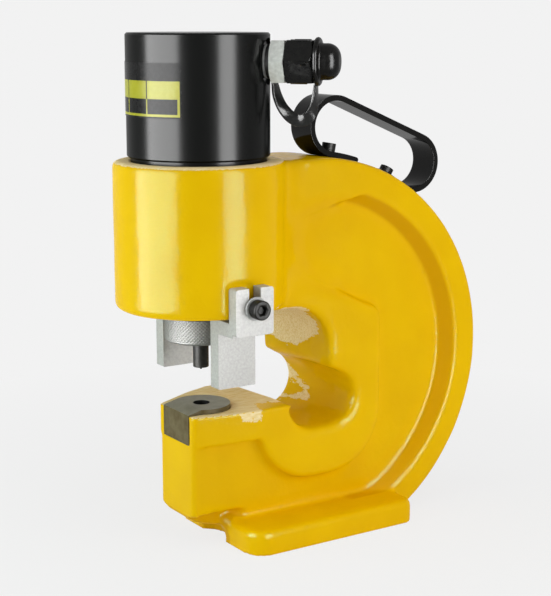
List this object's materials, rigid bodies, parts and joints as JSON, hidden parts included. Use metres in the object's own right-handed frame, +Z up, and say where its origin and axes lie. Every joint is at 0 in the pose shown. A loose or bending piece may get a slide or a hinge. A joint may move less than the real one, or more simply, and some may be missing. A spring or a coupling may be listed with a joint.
{
  "type": "hydraulic busbar punch",
  "caption": "Hydraulic C-frame hole punch for busbar: upright cylinder over a deep throat, round punch and die, adjustable strippers, hose coupling and carrying handle.",
  "frame": {"origin": "on the floor under the centre of the frame's round back", "axes": "+Z up along the ram, -X towards the jaw's open front, -Y the side of the hose coupling"},
  "size_m": [0.282, 0.1518, 0.3548],
  "materials": {
    "yellow_enamel": "glossy yellow enamel over a cast surface, bare where machined",
    "black_cylinder": "smooth satin black",
    "plate_print": "black plate with a yellow border, blank",
    "ground_steel": "ground",
    "knurled_steel": "diamond knurled, zinc plated",
    "spring_steel": "oil blackened wire",
    "tool_steel": "dark hardened",
    "die_steel": "dark hardened, oiled",
    "black_screw": "black oxide",
    "cast_silver": "silver, lightly cast",
    "plated_washer": "zinc plated",
    "plated_hex": "zinc plated",
    "black_hex": "black",
    "handle_black": "glossy black",
    "bronze": "machined",
    "backup_plastic": "white",
    "seal_rubber": "matt",
    "tether_rubber": "semi-gloss",
    "cap_rubber": "semi-gloss"
  },
  "bodies": {
    "frame_body": {"c_frame": "yellow_enamel", "cylinder_cup": "black_cylinder", "cup_o_ring": "seal_rubber", "data_plate": "plate_print", "return_spring": "spring_steel", "spring_seat_washer": "ground_steel", "guide_bush": "bronze", "rod_wiper": "seal_rubber", "die": "die_steel", "die_set_screw": "black_screw", "stripper_screws": "black_screw", "stripper_washers": "plated_washer", "handle_strap": "handle_black", "handle_screws": "black_screw", "port_seal": "plated_washer", "hose_adapter": "plated_hex", "coupler_body": "black_hex", "coupler_poppet": "ground_steel", "poppet_spring": "spring_steel", "cap_tether": "tether_rubber"},
    "ram_and_punch": {"ram": "ground_steel", "piston_seal": "seal_rubber", "piston_backup_ring": "backup_plastic", "piston_wear_ring": "bronze", "punch_nut": "knurled_steel", "punch": "tool_steel"},
    "near_stripper": {"stripper_near": "cast_silver"},
    "far_stripper": {"stripper_far": "cast_silver"},
    "cap": {"dust_cap": "cap_rubber"}
  },
  "joints": [
    {"name": "ram_stroke", "type": "slide", "parent": "frame_body", "child": "ram_and_punch", "axis": [0, 0, -1], "range_m": [0, 0.028], "stiffness_N_per_m": 18400, "springref_m": -0.02, "deforming": ["return_spring"]},
    {"name": "near_stripper_slide", "type": "slide", "parent": "frame_body", "child": "near_stripper", "axis": [0, 0, -1], "range_m": [-0.001, 0.008]},
    {"name": "far_stripper_slide", "type": "slide", "parent": "frame_body", "child": "far_stripper", "axis": [0, 0, -1], "range_m": [-0.001, 0.008]},
    {"name": "dust_cap_pull", "type": "slide", "parent": "frame_body", "child": "cap", "axis": [0.7071, -0.7071, 0], "range_m": [0, 0.014]}
  ]
}
